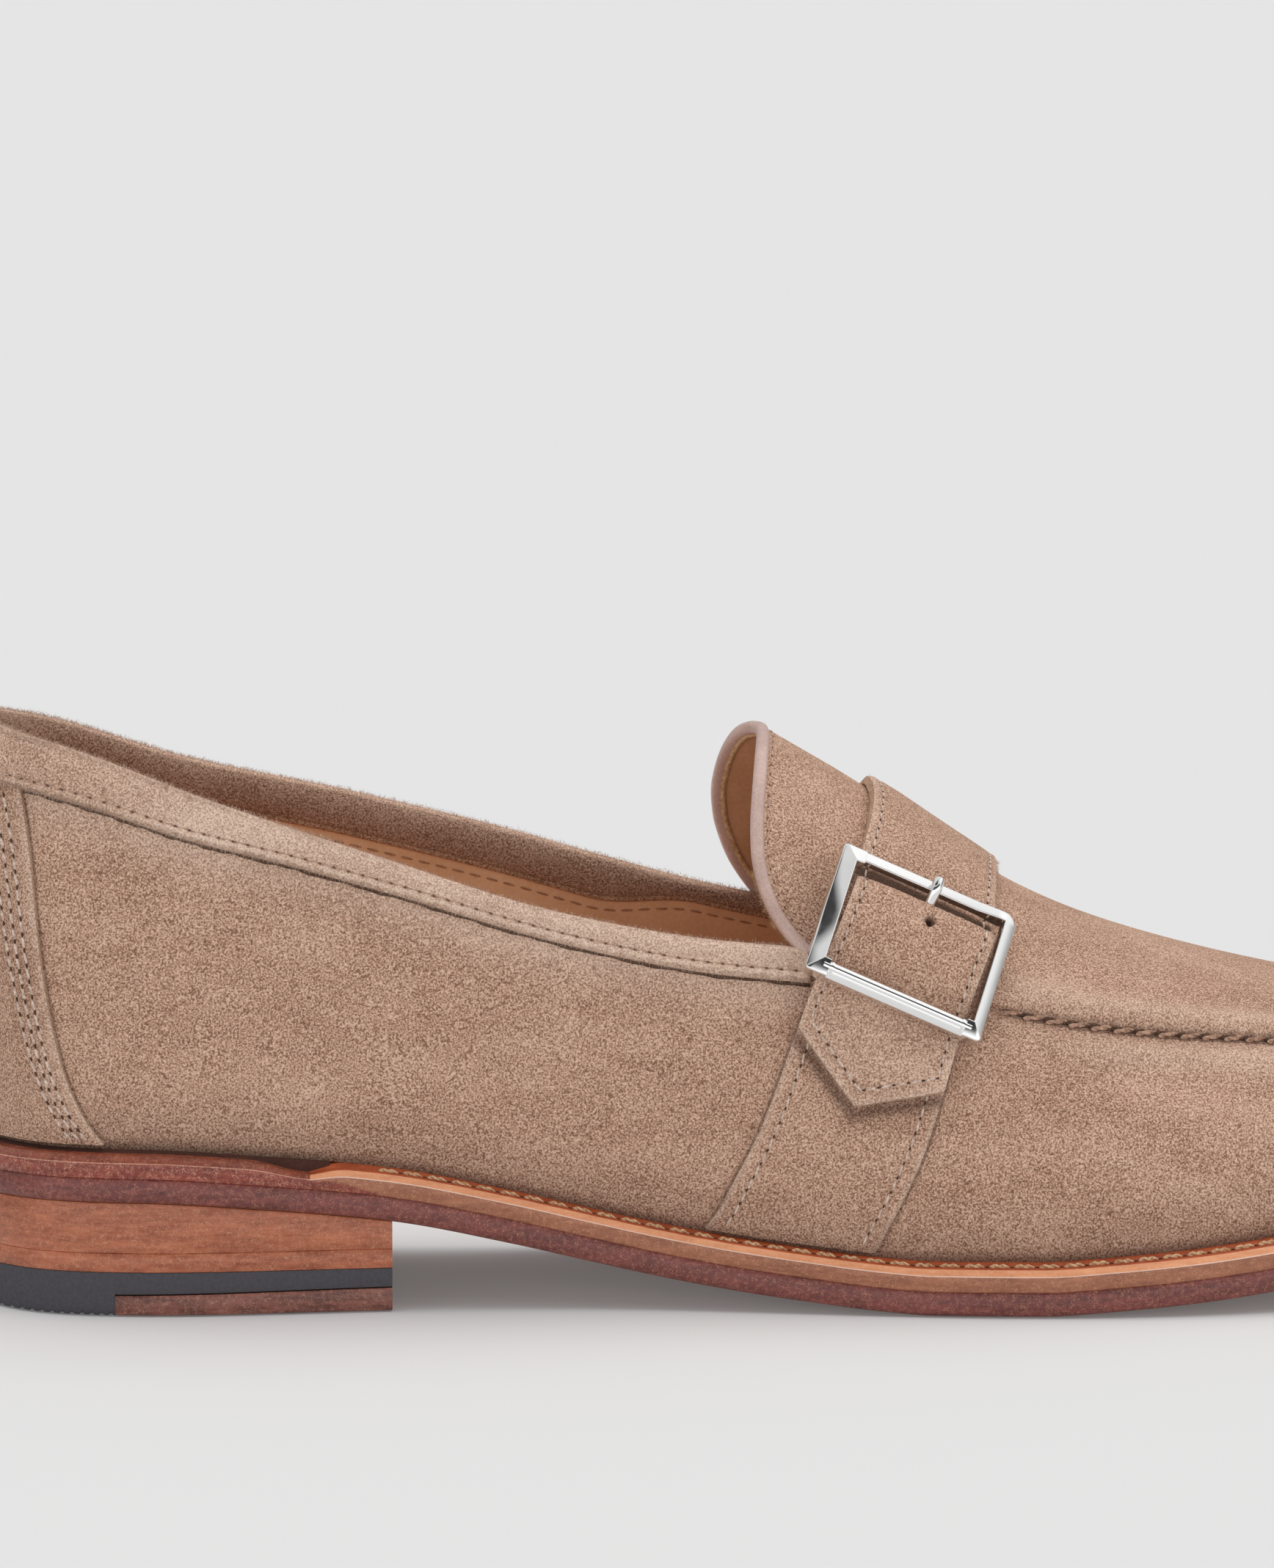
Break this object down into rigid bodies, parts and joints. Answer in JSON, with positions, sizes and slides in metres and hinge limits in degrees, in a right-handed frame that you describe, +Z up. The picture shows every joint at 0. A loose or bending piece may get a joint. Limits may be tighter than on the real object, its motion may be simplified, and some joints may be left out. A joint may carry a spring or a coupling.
{
  "type": "monk strap loafer",
  "caption": "Low suede slip-on dress shoe for the right foot with an apron front, a buckled strap over the instep, a stitched welt and a stacked leather heel.",
  "frame": {"origin": "on the floor under the middle of the outsole's outline", "axes": "+X from heel to toe, +Y towards the inner side of the right foot, +Z up"},
  "size_m": [0.296, 0.1021, 0.0972],
  "materials": {
    "suede": "taupe suede with a fine short nap, no gloss",
    "piping_leather": "smooth taupe leather with a soft sheen",
    "lining_leather": "smooth tan lining leather, satin",
    "sole_leather": "dark red-brown polished sole leather",
    "welt_leather": "orange-brown burnished edge leather",
    "stacked_leather": "orange-brown stacked heel leather, burnished",
    "heel_rubber": "dark grey matt rubber",
    "buckle_metal": "polished silver-coloured metal"
  },
  "bodies": {
    "root": {"outsole": "sole_leather", "welt": "welt_leather", "heel_rand": "welt_leather", "heel_lift_upper": "stacked_leather", "heel_lift_lower": "stacked_leather", "heel_top_rubber": "heel_rubber", "heel_top_leather": "sole_leather", "insole": "lining_leather", "upper": "suede", "heel_counter": "suede", "collar_band": "suede", "apron_tongue": "suede", "tongue_piping": "piping_leather", "saddle": "suede", "strap": "suede", "buckle_frame": "buckle_metal", "buckle_prong": "buckle_metal"}
  },
  "joints": []
}
